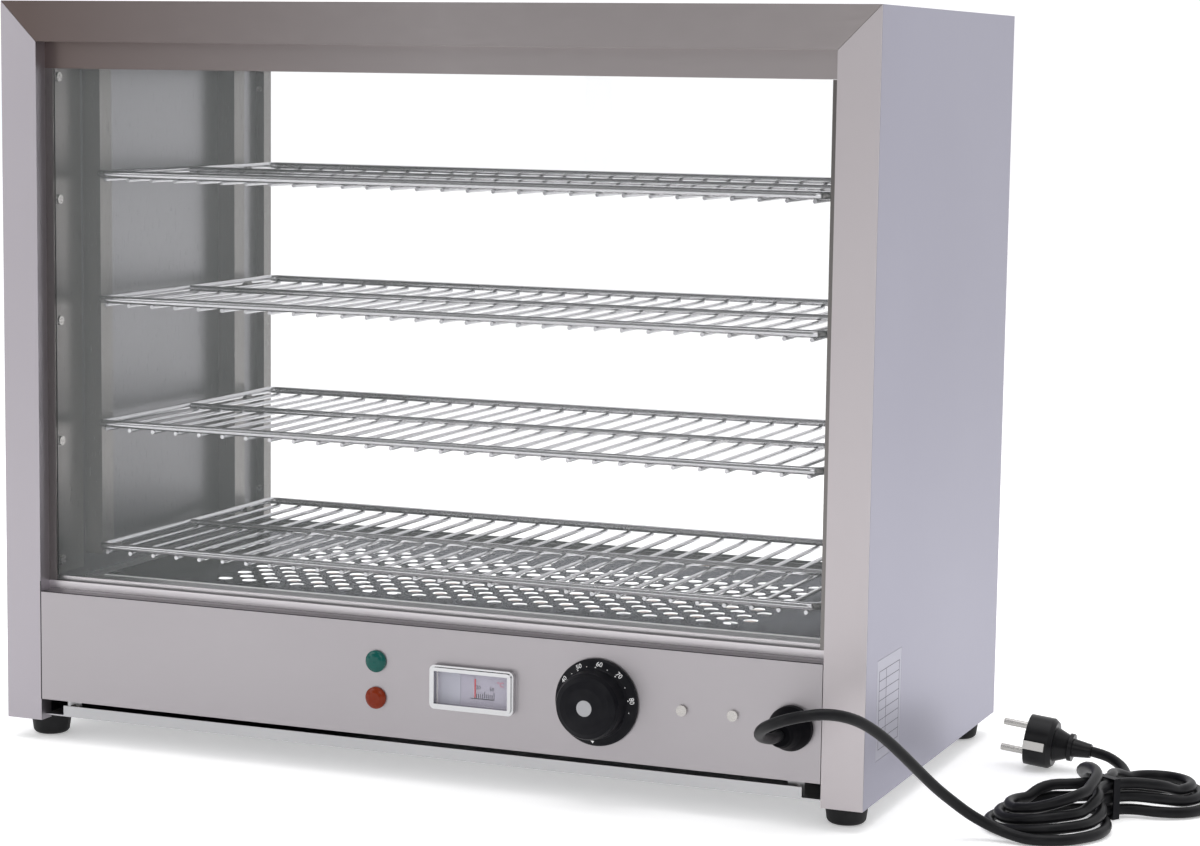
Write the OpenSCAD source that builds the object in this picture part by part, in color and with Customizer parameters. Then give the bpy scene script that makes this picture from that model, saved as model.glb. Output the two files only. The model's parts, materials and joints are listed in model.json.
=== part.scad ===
/* [Cabinet] */
// Width over the side skins
body_w = 660; // [600:5:720]
// Depth from the front trim to the rear frame
body_d = 336; // [320:1:380]
// Height of the body above its lower edge
body_h = 525; // [510:1:600]
// Sheet thickness of skins and frames
sheet_t = 1; // [0.8:0.1:1.5]
// Sheet thickness of the inner liners
liner_t = 0.8; // [0.6:0.1:1.2]
// Width of the mitred front trim strips
strip_w = 29; // [26:0.5:34]
// Depth of the step from the trim to the glass frame
recess_d = 12; // [9:0.5:16]
// Height of the underside of the base pan over the lower edge
base_z = 3; // [2:0.5:6]

/* [Glass front] */
// Visible width of the side channel lips
lip_w = 6.5; // [5:0.5:9]
// Height of the lintel strip under the top trim
lintel_h = 19; // [14:0.5:24]
// Height of the sill lip in front of the glass
sill_lip_h = 7; // [5:0.5:9]
// Glass thickness
glass_t = 4; // [3:0.5:5]
// Thickness of the rubber strip under the glass
seal_t = 1.5; // [1:0.25:2.5]
// How far the channel flanges run back along the liners
flange_d = 44; // [34:1:46]

/* [Control panel] */
// Height of the control panel's lower edge
panel_z = 16; // [13:1:20]
// Height of the control panel's upper edge
panel_top = 96; // [92:1:100]
// Side gap between control panel and trim
panel_gap = 0.5; // [0.3:0.1:1]
// Height of the row of controls
controls_z = 56; // [52:0.5:60]
// Thermostat position across the front
knob_x = 141.3; // [130:0.1:150]
// Diameter of the knob's dial skirt
skirt_d = 60; // [54:1:64]
// Diameter of the knob's grip
grip_d = 47; // [40:1:50]
// How far the knob stands out
knob_out = 24; // [20:1:30]
// Diameter of the thermostat shaft
shaft_d = 6; // [5:0.5:8]
// Running clearance round the shaft
shaft_gap = 0.05; // [0.03:0.01:0.1]
// Thermometer position across the front
thermo_x = 49; // [40:0.5:50]
// Thermometer bezel width
bezel_w = 63.5; // [60:0.5:66]
// Thermometer bezel height
bezel_h = 31; // [28:0.5:33]
// How far the bezel stands out
bezel_out = 6; // [5:0.5:8]
// Pilot lamp position across the front
lamp_x = -26; // [-40:1:-20]
// Height of the upper lamp over the row of controls
lamp_up = 13; // [10:0.5:16]
// Diameter of a pilot lamp's lens
lamp_d = 15.5; // [13:0.5:17]
// Cord gland position across the front
gland_x = 280; // [270:1:284]
// Height of the cord gland
gland_z = 52; // [46:1:58]
// Diameter of the gland's flange
gland_d = 30; // [26:1:32]
// How far the gland stands out
gland_out = 26; // [22:1:32]

/* [Shelves] */
// Number of wire shelves
shelf_count = 4; // [4:1:4]
// Height of the lowest shelf
shelf_z = 124.5; // [118:0.5:130]
// Height from shelf to shelf
shelf_pitch = 92; // [80:0.5:94]
// Gap between a shelf's side and the inner wall
shelf_side_gap = 17.5; // [17:0.25:20]
// Distance from the front trim to the shelf
shelf_y = 46; // [40:1:50]
// Depth of a shelf
shelf_d = 267; // [255:1:270]
// Diameter of the shelf's frame rod
rod_d = 5.5; // [4.5:0.5:6]
// Diameter of the rod along the middle
mid_rod_d = 4.5; // [3.5:0.5:5]
// Diameter of the cross wires
wire_d = 3; // [2.5:0.25:3.5]
// Number of cross wires
wire_count = 29; // [21:2:33]
// Width of a shelf upright
upright_w = 16; // [12:1:20]
// How far an upright stands off the wall
upright_out = 15; // [12:0.5:15]
// Distance from the front trim to the front uprights
upright_y = 61; // [58:1:66]
// Distance from the front uprights to the rear ones
upright_pitch = 200; // [180:2:210]

/* [Heated floor] */
// Height of the perforated plate's top
plate_z = 101; // [100:0.5:104]
// Hole diameter in the plate
hole_d = 10.5; // [8:0.5:12]
// Hole pitch across the plate
hole_pitch_x = 20; // [18:0.5:24]
// Row pitch of the holes
hole_pitch_y = 14.5; // [14:0.5:18]
// Holes in a row
hole_cols = 21; // [15:1:23]
// Rows of holes
hole_rows = 12; // [8:1:12]
// Half width of the heater tray
tray_half = 262; // [240:1:270]
// Height of the heater tray's floor
tray_z = 60; // [54:1:70]
// Diameter of the heater tubes
heater_d = 8; // [6:0.5:10]

/* [Rear doors] */
// Thickness of a rear door
door_t = 4; // [3:0.5:4]
// How far the doors overlap at the middle
door_lap = 24; // [16:1:40]
// Height of the rear frame rail over the doors
rear_rail_h = 47; // [41:1:55]

/* [Feet] */
// Height of the feet below the body's lower edge
foot_h = 15; // [10:1:25]
// Diameter of a foot at its top
foot_top_d = 31; // [26:1:36]
// Diameter of a foot at its bottom
foot_bottom_d = 27; // [20:1:30]
// Foot centre from the side skin
foot_x_in = 19.5; // [18:0.5:26]
// Foot centre from the front and rear
foot_y_in = 28; // [24:1:36]

/* [Cord] */
// Diameter of the mains cord
cord_d = 7.5; // [6:0.5:8]
// Least gap between neighbouring loops of the hank
hank_gap = 1.4; // [1.2:0.1:2]
// Loops in the hank
hank_loops = 3; // [3:1:3]

/* [Hidden] */
eps = 0.01;
half_w = body_w / 2;
front_y = (knob_out - body_d) / 2;
in_x = half_w - strip_w;
skin_gap = 0.4;
skin_y = sheet_t + skin_gap;
rear_in = body_d - sheet_t;
frame_y = recess_d + sheet_t;
glass_y = frame_y;
glass_back = glass_y + glass_t;
ceiling_z = body_h - strip_w;
rear_top_z = body_h - rear_rail_h;
sill_z = panel_top;
seal_z = sill_z + sheet_t;
glass_x = in_x - sheet_t - 0.5;
glass_z0 = seal_z + seal_t;
glass_z1 = ceiling_z - sheet_t - 0.5;
apron_y = upright_y;
rim_z = plate_z - sheet_t;
side_play = 0.3;
track_y = body_d - 15;
track_z = panel_top;
door_y1 = track_y + sheet_t + 3.4;
door_y2 = rear_in - 0.4 - door_t;
post_x = in_x - 7;
post_screw_z = [track_z + 36, ceiling_z - 34];
post_screw_in = 3.2;
post_screw_head = 4.4;
door_end = post_x - side_play;
door_w = door_end + door_lap / 2;
door_z0 = track_z + sheet_t + 0.4;
door_z1 = ceiling_z - sheet_t - 5;
door_travel = 2 * door_end - door_w - 1;
shelf_half = in_x - shelf_side_gap;
shelf_y1 = shelf_y + shelf_d;
side_rod_x = shelf_half - rod_d / 2;
wire_drop = rod_d / 2 + wire_d / 2 - 0.4;
hook_x0 = side_rod_x - rod_d / 2 - 1.2;
hook_t = 1.2;
foot_x = half_w - foot_x_in;
foot_screw_d = 5;
lamp_z = [controls_z + lamp_up, controls_z - lamp_up];
floor_z = -foot_h;
cord_r = cord_d / 2;
panel_screw_x = [202.6, 238.8];
hank_u = [0.515, 0.857];
hank_v = [-0.857, 0.515];
hank_c = [464, 118];
lobe_r = [42, 36];
lobe_lean = 48;
waist_r = 23;
hank_waist = 5.2;
tie_t = 1;
tie_w = 6;
plug_d = 36.5;

// Hand laid route of the cord on its way to the hank, x and y from the front face, z from the floor
LEAD = [
    [280, -61, 73.5], [282, -70.5, 78], [287.5, -79.5, 83.5], [296, -86, 88.5], [306.5, -89, 93],
    [317.5, -88, 96], [327.5, -82.5, 97], [337, -73.5, 95], [345, -62, 90], [352, -49.5, 82],
    [358.5, -36.5, 72], [365, -23.5, 60.5], [371.5, -10.5, 48.5], [379, 1.5, 36.5], [387.5, 12, 26],
    [397, 19.5, 17], [407.5, 24, 10.5], [419, 25, 6.3], [431, 23.2, 4.2], [442, 23.3, 3.75],
    [452.5, 27.2, 3.75], [462, 34.8, 3.75]
];
// Hand laid tail of the cord in the hank's own directions, from its last loop to the plug
TAIL = [
    [-37, -21.8, 30], [-29.5, -17.8, 31.4], [-21.5, -12.6, 32.6], [-14.2, -5.5, 33.3],
    [-8.5, 3.5, 33.4], [-3, 13.5, 31.6], [3, 23, 28], [11, 32, 23.5], [21, 38.5, 18.5],
    [33, 42.5, 14], [46, 44.5, 9.5], [59.3, 45.6, 6], [73.2, 49.8, 5], [82.1, 57.5, 6.8],
    [87.5, 68.1, 9.8], [88.4, 80.9, 13.2], [84, 93, 15.3]
];

// Places its children in the part's frame, from the front face and the body's lower edge
module body_frame() {
    translate([0, front_y, foot_h])
        children();
}

// A box from one corner to the other
module span(a, b) {
    translate(a)
        cube([b[0] - a[0], b[1] - a[1], b[2] - a[2]]);
}

// Children and their mirror image across the cabinet
module both_sides() {
    children();
    mirror([1, 0, 0])
        children();
}

// Cylinder along the depth, from y0 to y1
module rod_y(x, z, y0, y1, d, f = 32) {
    translate([x, y0, z])
        rotate([-90, 0, 0])
            cylinder(d = d, h = y1 - y0, $fn = f);
}

// Cylinder across the cabinet, from x0 to x1
module rod_x(x0, x1, y, z, d, f = 24) {
    translate([x0, y, z])
        rotate([0, 90, 0])
            cylinder(d = d, h = x1 - x0, $fn = f);
}

// Screw with a pan head facing the front
module front_screw(x, y, z, head_d = 7, len = 8) {
    rod_y(x, z, y - 1.8, y, head_d, 24);
    rod_y(x, z, y - eps, y + len, head_d / 2, 24);
}

// Screw with its head facing the inside of the cabinet, in the left wall
module wall_screw(y, z) {
    translate([-in_x + sheet_t, y, z])
        rotate([0, 90, 0]) {
            cylinder(d = 7, h = 1.8, $fn = 24);
            translate([0, 0, -4])
                cylinder(d = 3.5, h = 4 + eps, $fn = 24);
        }
}

module base_pan() {
    lip_half = in_x - 15;
    color("silver")
        body_frame()
            difference() {
                union() {
                    span([-half_w + sheet_t, 6, base_z], [half_w - sheet_t, rear_in, base_z + sheet_t]);
                    span([-lip_half, 6, base_z], [lip_half, 6 + sheet_t, 11]);
                    both_sides()
                        span([half_w - 2 * sheet_t, 8, base_z], [half_w - sheet_t, rear_in, 22]);
                    both_sides()
                        span([lip_half - 12, 12, base_z], [lip_half, 12 + sheet_t, panel_z]);
                }
                for (x = [-foot_x, foot_x], y = [foot_y_in, body_d - foot_y_in])
                    translate([x, y, base_z - 1])
                        cylinder(d = foot_screw_d + 0.4, h = sheet_t + 2, $fn = 32);
                both_sides()
                    rod_y(lip_half - 6, 8, 10, 15, 3.9);
            }
}

module base_screws() {
    color("gainsboro")
        body_frame()
            both_sides()
                front_screw(in_x - 21, 12, 8);
}

// Outer skin of one side, drawn on the left
module side_skin() {
    difference() {
        union() {
            span([-half_w, skin_y, 0], [-half_w + sheet_t, body_d, body_h]);
            span([-half_w + sheet_t, skin_y, body_h - 2 * sheet_t - 10],
                 [-half_w + 2 * sheet_t, rear_in - 2, body_h - 2 * sheet_t]);
        }
        children();
    }
}

module left_side_panel() {
    color("lightsteelblue")
        body_frame()
            side_skin();
}

module right_side_panel() {
    color("lightsteelblue")
        body_frame()
            mirror([1, 0, 0])
                side_skin()
                    span([-half_w - 1, 26, 28], [-half_w + 0.4, 82, 96]);
}

module rating_plate() {
    color("lightgray")
        body_frame()
            span([half_w - 0.4, 26.2, 28.2], [half_w, 81.8, 95.8]);
}

module top_panel() {
    color("silver")
        body_frame() {
            span([-half_w + sheet_t, skin_y, body_h - sheet_t],
                 [half_w - sheet_t, rear_in, body_h]);
            both_sides()
                span([half_w - 3 * sheet_t, skin_y, body_h - 2 * sheet_t - 10],
                     [half_w - 2 * sheet_t, rear_in - 2, body_h - sheet_t]);
        }
}

// Flat outline of the upper strip with its mitred ends
module top_strip_outline() {
    polygon([
        [-half_w, body_h], [half_w, body_h],
        [in_x, ceiling_z], [-in_x, ceiling_z]
    ]);
}

module trim_top() {
    color("dimgray")
        body_frame() {
            translate([0, sheet_t, 0])
                rotate([90, 0, 0])
                    linear_extrude(sheet_t)
                        top_strip_outline();
            span([-in_x, sheet_t, ceiling_z], [in_x, frame_y, ceiling_z + sheet_t]);
        }
}

// Upright strip with its mitred top, drawn on the right
module side_strip() {
    translate([0, sheet_t, 0])
        rotate([90, 0, 0])
            linear_extrude(sheet_t)
                polygon([[in_x, 0], [half_w, 0], [half_w, body_h - 0.3], [in_x, ceiling_z - 0.3]]);
    span([in_x, sheet_t, 0], [in_x + sheet_t, frame_y, ceiling_z - 0.3]);
}

module trim_left() {
    color("thistle")
        body_frame()
            mirror([1, 0, 0])
                side_strip();
}

module trim_right() {
    color("thistle")
        body_frame()
            side_strip();
}

module lintel() {
    z0 = ceiling_z - lintel_h;
    color("dimgray")
        body_frame() {
            span([-in_x, recess_d, z0], [in_x, frame_y, ceiling_z]);
            span([-in_x, recess_d, ceiling_z - sheet_t], [in_x, glass_back + 3, ceiling_z]);
            span([-glass_x, glass_back, z0 + 8], [glass_x, glass_back + sheet_t, ceiling_z]);
        }
}

module sill() {
    color("silver")
        body_frame() {
            span([-in_x, recess_d, sill_z], [in_x, frame_y, sill_z + sill_lip_h]);
            span([-in_x, recess_d, sill_z], [in_x, apron_y, sill_z + sheet_t]);
            span([-glass_x, glass_back, sill_z], [glass_x, glass_back + sheet_t, sill_z + sill_lip_h + 3]);
        }
}

// Channel that holds the glass, drawn on the left, with its row of screw holes
module glass_channel() {
    z0 = sill_z + sill_lip_h + 3.2;
    z1 = ceiling_z - lintel_h;
    difference() {
        union() {
            span([-in_x, recess_d, sill_z + sill_lip_h + 0.2], [-in_x + lip_w, frame_y, z1 - 0.2]);
            span([-in_x, frame_y - eps, z0], [-in_x + sheet_t, frame_y + flange_d, z1 - 0.2]);
            span([-in_x, glass_back, z0], [-in_x + lip_w - 1.5, glass_back + sheet_t, z1 - 0.2]);
        }
        liner_holes(frame_y + 14);
    }
}

// Heights of the five screws in a channel
function channel_screw_z(i) = sill_z + 20 + i * (ceiling_z - lintel_h - sill_z - 26) / 4;

module liner_holes(y) {
    for (i = [0:4])
        translate([-in_x - 1, y, channel_screw_z(i)])
            rotate([0, 90, 0])
                cylinder(d = 3.9, h = 4, $fn = 24);
}

module glass_channel_left() {
    color("gray")
        body_frame()
            glass_channel();
}

module glass_channel_right() {
    color("gray")
        body_frame()
            mirror([1, 0, 0])
                glass_channel();
}

module liner_screws() {
    color("gainsboro")
        body_frame()
            both_sides() {
                for (i = [0:4])
                    wall_screw(frame_y + 14, channel_screw_z(i));
                for (z = post_screw_z)
                    front_screw(in_x - post_screw_in, track_y + 3, z, post_screw_head, 5);
            }
}

module glass_seal() {
    color("black")
        body_frame()
            span([-glass_x, glass_y, seal_z], [glass_x, glass_back, glass_z0]);
}

module front_glass() {
    color("aliceblue", 0.3)
        body_frame()
            span([-glass_x, glass_y, glass_z0], [glass_x, glass_back, glass_z1]);
}

// Inner wall, drawn on the left
module side_liner() {
    difference() {
        span([-in_x - liner_t, frame_y, base_z + sheet_t], [-in_x, track_y + 3, ceiling_z]);
        liner_holes(frame_y + 14);
        translate([-in_x - 5, shelf_y1 - 30, ceiling_z - 60])
            rotate([0, 90, 0])
                cylinder(d = sensor_d + 0.4, h = 10, $fn = 24);
    }
}

module left_liner() {
    color("gray")
        body_frame()
            side_liner();
}

module right_liner() {
    color("gray")
        body_frame()
            mirror([1, 0, 0])
                side_liner();
}

module ceiling_liner() {
    color("gray")
        body_frame()
            span([-in_x, glass_back + 3, ceiling_z - sheet_t], [in_x, track_y, ceiling_z]);
}

// Shelf upright on the left wall, with a hook at each shelf
module shelf_upright(y) {
    x0 = -in_x;
    x1 = -in_x + upright_out;
    z0 = rim_z + 16;
    z1 = ceiling_z - sheet_t;
    span([x1 - sheet_t, y, z0], [x1, y + upright_w, z1]);
    span([x0, y, z0], [x1, y + sheet_t, z1]);
    span([x0, y + upright_w - sheet_t, z0], [x1, y + upright_w, z1]);
    for (i = [0:shelf_count - 1]) {
        top = shelf_z + i * shelf_pitch - rod_d / 2;
        span([x1 - eps, y + 4, top - hook_t], [-hook_x0, y + upright_w - 4, top]);
        span([-hook_x0 - hook_t, y + 4, top - hook_t], [-hook_x0, y + upright_w - 4, top + rod_d / 2]);
    }
}

module upright_pair() {
    shelf_upright(upright_y);
    shelf_upright(upright_y + upright_pitch);
}

module uprights_left() {
    color("darkgray")
        body_frame()
            upright_pair();
}

module uprights_right() {
    color("darkgray")
        body_frame()
            mirror([1, 0, 0])
                upright_pair();
}

// Quarter bend at one corner of the shelf's frame rod
module rod_corner(x, y, a, r) {
    translate([x, y, 0])
        rotate([0, 0, a])
            rotate_extrude(angle = 90, $fn = 48)
                translate([r, 0])
                    circle(d = rod_d, $fn = 24);
}

// One wire shelf: a bent frame rod, a middle rod and the cross wires welded below them
module wire_shelf(level) {
    corner_r = 8;
    x1 = side_rod_x;
    y0 = shelf_y + rod_d / 2;
    y1 = shelf_y1 - rod_d / 2;
    wire_half = x1 - 8;
    step = 2 * wire_half / (wire_count - 1);
    translate([0, 0, shelf_z + level * shelf_pitch]) {
        rod_x(-x1 + corner_r, x1 - corner_r, y0, 0, rod_d);
        rod_x(-x1 + corner_r, x1 - corner_r, y1, 0, rod_d);
        both_sides()
            rod_y(x1, 0, y0 + corner_r, y1 - corner_r, rod_d, 24);
        rod_corner(x1 - corner_r, y1 - corner_r, 0, corner_r);
        rod_corner(-x1 + corner_r, y1 - corner_r, 90, corner_r);
        rod_corner(-x1 + corner_r, y0 + corner_r, 180, corner_r);
        rod_corner(x1 - corner_r, y0 + corner_r, 270, corner_r);
        rod_x(-x1, x1, (y0 + y1) / 2, 0, mid_rod_d);
        for (i = [0:wire_count - 1])
            rod_y(-wire_half + i * step, -wire_drop, shelf_y + 0.6, shelf_y1 - 1.5, wire_d, 16);
    }
}

module shelf_1() {
    color("lightgray")
        body_frame()
            wire_shelf(0);
}

module shelf_2() {
    color("lightgray")
        body_frame()
            wire_shelf(1);
}

module shelf_3() {
    color("lightgray")
        body_frame()
            wire_shelf(2);
}

module shelf_4() {
    color("lightgray")
        body_frame()
            wire_shelf(3);
}

module perforated_floor() {
    half = shelf_half + 1.5;
    y0 = apron_y + sheet_t;
    hole_y0 = y0 + 24;
    color("darkgray")
        body_frame()
            difference() {
                span([-half, y0, rim_z], [half, track_y - 6, plate_z]);
                for (j = [0:hole_rows - 1], i = [0:hole_cols - 1]) {
                    shift = (j % 2 == 0) ? 0 : hole_pitch_x / 2;
                    translate([(i - (hole_cols - 1) / 2) * hole_pitch_x + shift + 5,
                               hole_y0 + j * hole_pitch_y, rim_z - 1])
                        cylinder(d = hole_d, h = sheet_t + 2, $fn = 24);
                }
            }
}

module heater_tray() {
    y0 = apron_y;
    y1 = track_y;
    color("silver")
        body_frame()
            difference() {
                union() {
                    span([-tray_half, y0, tray_z], [tray_half, y1 - 1, rim_z]);
                    span([-in_x, y0, rim_z - sheet_t], [in_x, y1, rim_z]);
                    span([-in_x, y0, rim_z - 10], [in_x, y0 + sheet_t, rim_z]);
                }
                span([-tray_half + sheet_t, y0 + sheet_t, tray_z + sheet_t],
                     [tray_half - sheet_t, y1 - 1 - sheet_t, rim_z + 1]);
                for (y = heater_rows)
                    rod_x(tray_half - 3, tray_half + 3, y, heater_z, heater_d + 0.6);
                rod_y(knob_x - 10, tray_z + 6, y0 - 1, y0 + 3, 2.6, 24);
            }
}

heater_z = tray_z + 18;
heater_bend = 25;
heater_rows = [
    for (m = [0.3, 0.72]) for (s = [-1, 1])
        apron_y + m * (track_y - apron_y) + s * heater_bend
];
heater_x = tray_half - 30;
clip_x = tray_half - 112;
sensor_d = 6;

// Hairpin heater with both legs through the tray's right wall
module heater_tube(row) {
    y0 = heater_rows[row];
    y1 = heater_rows[row + 1];
    rod_x(-heater_x + heater_bend, tray_half + 12, y0, heater_z, heater_d);
    rod_x(-heater_x + heater_bend, tray_half + 12, y1, heater_z, heater_d);
    translate([-heater_x + heater_bend, (y0 + y1) / 2, heater_z])
        rotate([0, 0, 90])
            rotate_extrude(angle = 180, $fn = 64)
                translate([heater_bend, 0])
                    circle(d = heater_d, $fn = 24);
}

module heater_front() {
    color("slategray")
        body_frame()
            heater_tube(0);
}

module heater_rear() {
    color("slategray")
        body_frame()
            heater_tube(2);
}

// Saddles that carry the heater legs on the tray's floor
module heater_clips() {
    color("silver")
        body_frame()
            for (x = [-clip_x, clip_x], y = heater_rows)
                difference() {
                    span([x - 4, y - 7, tray_z + sheet_t], [x + 4, y + 7, heater_z + 2]);
                    rod_x(x - 5, x + 5, y, heater_z, heater_d + 0.1, 32);
                    span([x - 5, y - heater_d / 2, heater_z], [x + 5, y + heater_d / 2, heater_z + 3]);
                }
}

module control_panel() {
    px = in_x - panel_gap;
    color("silver")
        body_frame()
            difference() {
                union() {
                    span([-px, 0, panel_z], [px, sheet_t, panel_top]);
                    span([-px, 0, panel_top - sheet_t], [px, 25, panel_top]);
                    span([-px, 0, panel_z], [px, 15, panel_z + sheet_t]);
                }
                rod_y(knob_x, controls_z, -1, 3, bush_d + 0.4);
                span([thermo_x - case_w / 2 - 0.3, -1, controls_z - case_h / 2 - 0.3],
                     [thermo_x + case_w / 2 + 0.3, 3, controls_z + case_h / 2 + 0.3]);
                for (z = lamp_z)
                    rod_y(lamp_x, z, -1, 3, lamp_body_d + 0.3);
                for (x = panel_screw_x)
                    rod_y(x, controls_z, -1, 3, 3.9);
                rod_y(gland_x, gland_z, -1, 3, gland_shank_d + 0.3);
            }
}

bush_d = 10;
case_w = bezel_w - 6;
case_h = bezel_h - 5;
lamp_body_d = 12;
gland_shank_d = 16;

module panel_screws() {
    color("gainsboro")
        body_frame()
            for (x = panel_screw_x)
                front_screw(x, 0, controls_z, 7.5, 12);
}

module terminal_block() {
    x0 = panel_screw_x[0] - 8;
    x1 = panel_screw_x[1] + 8;
    color("ivory")
        body_frame()
            difference() {
                span([x0, sheet_t, controls_z - 12], [x1, 22, controls_z + 12]);
                for (x = panel_screw_x)
                    rod_y(x, controls_z, 0, 23, 3.9);
                for (i = [0:2])
                    span([x0 - 1, 12, controls_z - 9 + i * 7], [x0 + 8, 23, controls_z - 5 + i * 7]);
            }
}

module thermostat_body() {
    color("dimgray")
        body_frame()
            difference() {
                union() {
                    span([knob_x - 20, sheet_t, controls_z - 14], [knob_x + 20, 3, controls_z + 14]);
                    span([knob_x - 17, 3, controls_z - 18], [knob_x + 17, 34, controls_z + 18]);
                    rod_y(knob_x, controls_z, -0.6, 4, bush_d);
                }
                rod_y(knob_x, controls_z, -2, 20, shaft_d + 2 * shaft_gap, 48);
            }
}

module thermostat_shaft() {
    color("gainsboro")
        body_frame()
            rod_y(knob_x, controls_z, -14, 18, shaft_d, 48);
}

module dial_knob() {
    color("black")
        body_frame()
            translate([knob_x, 0, controls_z])
                rotate([90, 0, 0])
                    difference() {
                        rotate_extrude($fn = 96)
                            polygon([
                                [0, 1], [skirt_d / 2, 1], [skirt_d / 2, 2.4],
                                [skirt_d / 2 - 1, 3.4], [grip_d / 2 + 1.2, 5.4],
                                [grip_d / 2, 7], [grip_d / 2 - 0.6, knob_out - 6],
                                [grip_d / 2 - 2.2, knob_out - 2.6], [grip_d / 2 - 5.5, knob_out - 0.8],
                                [grip_d / 2 - 10, knob_out], [0, knob_out]
                            ]);
                        cylinder(d = shaft_d, h = 14, $fn = 48);
                        translate([0, 0, knob_out - 0.6])
                            cylinder(d = disc_d, h = 2, $fn = 48);
                    }
}

disc_d = 11;

module knob_disc() {
    color("silver")
        body_frame()
            rod_y(knob_x, controls_z, -knob_out, -knob_out + 0.6, disc_d, 48);
}

// Bulb of the thermostat in the heater tray, with its thin tube from the thermostat
module thermostat_bulb() {
    z = tray_z + 6;
    x0 = knob_x - 10;
    color("peru")
        body_frame() {
            rod_y(x0, z, apron_y + 40, apron_y + 120, sensor_d, 24);
            rod_y(x0, z, 34, apron_y + 41, 2, 16);
        }
}

// Bulb of the thermometer inside the cabinet, with its thin tube down behind the liner
module sensor_bulb() {
    y = shelf_y1 - 30;
    z = ceiling_z - 60;
    tube_x = in_x + liner_t + 3;
    case_x = thermo_x + case_w / 2 - 1;
    color("peru")
        body_frame() {
            rod_x(in_x - 22, tube_x + 3, y, z, sensor_d);
            translate([tube_x, y, 30])
                cylinder(d = 2, h = z - 30, $fn = 16);
            rod_y(tube_x, 30, 18, y + 1, 2, 16);
            rod_x(case_x, tube_x, 18, 30, 2, 16);
            translate([case_x, 18, 29])
                cylinder(d = 2, h = controls_z - case_h / 2 - 29, $fn = 16);
        }
}

module thermometer_case() {
    color("whitesmoke")
        body_frame()
            difference() {
                span([thermo_x - case_w / 2, -1, controls_z - case_h / 2],
                     [thermo_x + case_w / 2, 22, controls_z + case_h / 2]);
                span([thermo_x - case_w / 2 + 1, -2, controls_z - case_h / 2 + 1],
                     [thermo_x + case_w / 2 - 1, 2, controls_z + case_h / 2 - 1]);
            }
}

module thermometer_bezel() {
    wall = 4;
    color("gainsboro")
        body_frame()
            translate([thermo_x, 0, controls_z])
                rotate([90, 0, 0])
                    difference() {
                        union() {
                            linear_extrude(bezel_out - 1.5)
                                round_rect(bezel_w, bezel_h, 4);
                            linear_extrude(bezel_out)
                                round_rect(bezel_w - 3, bezel_h - 3, 3);
                        }
                        translate([0, 0, -1])
                            linear_extrude(bezel_out + 2)
                                square([bezel_w - 2 * wall, bezel_h - 2 * wall], center = true);
                        translate([0, 0, -1])
                            linear_extrude(2.2)
                                square([case_w + 0.2, case_h + 0.2], center = true);
                    }
}

// Rectangle with round corners, from straight stretches and discs
module round_rect(w, h, r) {
    square([w - 2 * r, h], center = true);
    square([w, h - 2 * r], center = true);
    for (x = [-1, 1], y = [-1, 1])
        translate([x * (w / 2 - r), y * (h / 2 - r)])
            circle(r = r, $fn = 24);
}

module thermometer_dial() {
    color("lavender")
        body_frame()
            span([thermo_x - case_w / 2 + 1, 1.4, controls_z - case_h / 2 + 1],
                 [thermo_x + case_w / 2 - 1, 2, controls_z + case_h / 2 - 1]);
}

pointer_x = thermo_x + 0.6;
pointer_travel = 14;

module thermometer_pointer() {
    color("crimson")
        body_frame()
            span([pointer_x - 0.4, 0.8, controls_z - 6], [pointer_x + 0.4, 1.2, controls_z + 7]);
}

module thermometer_window() {
    wall = 4;
    color("aliceblue", 0.3)
        body_frame()
            span([thermo_x - bezel_w / 2 + wall, -bezel_out + 2, controls_z - bezel_h / 2 + wall],
                 [thermo_x + bezel_w / 2 - wall, -bezel_out + 3, controls_z + bezel_h / 2 - wall]);
}

// Lens of a pilot lamp: a flange and a shallow dome
module lamp_lens(z) {
    translate([lamp_x, 0, z])
        rotate([90, 0, 0])
            rotate_extrude($fn = 64)
                polygon([
                    [0, 0], [lamp_d / 2, 0], [lamp_d / 2, 1.4], [lamp_d / 2 - 1, 2.2],
                    [lamp_d / 2 - 2, 2.8], [lamp_d / 4, 3.4], [0, 3.6]
                ]);
}

module lamp_green() {
    color("green")
        body_frame()
            lamp_lens(lamp_z[0]);
}

module lamp_amber() {
    color("orange")
        body_frame()
            lamp_lens(lamp_z[1]);
}

module lamp_bodies() {
    color("whitesmoke")
        body_frame()
            for (z = lamp_z)
                rod_y(lamp_x, z, 0, 26, lamp_body_d);
}

// Wires behind the panel and from the thermostat to the heaters
module inner_wiring() {
    wire = 4;
    run_x = tray_half + 12 + wire / 2;
    drop_y = 26;
    color("darkred")
        body_frame() {
            rod_x(panel_screw_x[1] + 8, gland_x, 17, gland_z, wire, 16);
            rod_y(gland_x, gland_z, 14, 17 + wire / 2, wire, 16);
            rod_x(knob_x + 17, panel_screw_x[0] - 8, 8, controls_z, wire, 16);
            rod_x(lamp_x + 3, knob_x - 17, drop_y + wire / 2, controls_z - 12, wire, 16);
            translate([lamp_x + 3, drop_y + wire / 2, lamp_z[1] - 4])
                cylinder(d = wire, h = lamp_z[0] - lamp_z[1] + 4, $fn = 16);
            rod_y(run_x, heater_z, drop_y, heater_rows[3] + 2, wire, 16);
            rod_x(knob_x, run_x, drop_y, heater_z, wire, 16);
            translate([knob_x, drop_y, controls_z + 18])
                cylinder(d = wire, h = heater_z - controls_z - 18 + wire / 2, $fn = 16);
        }
}

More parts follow.
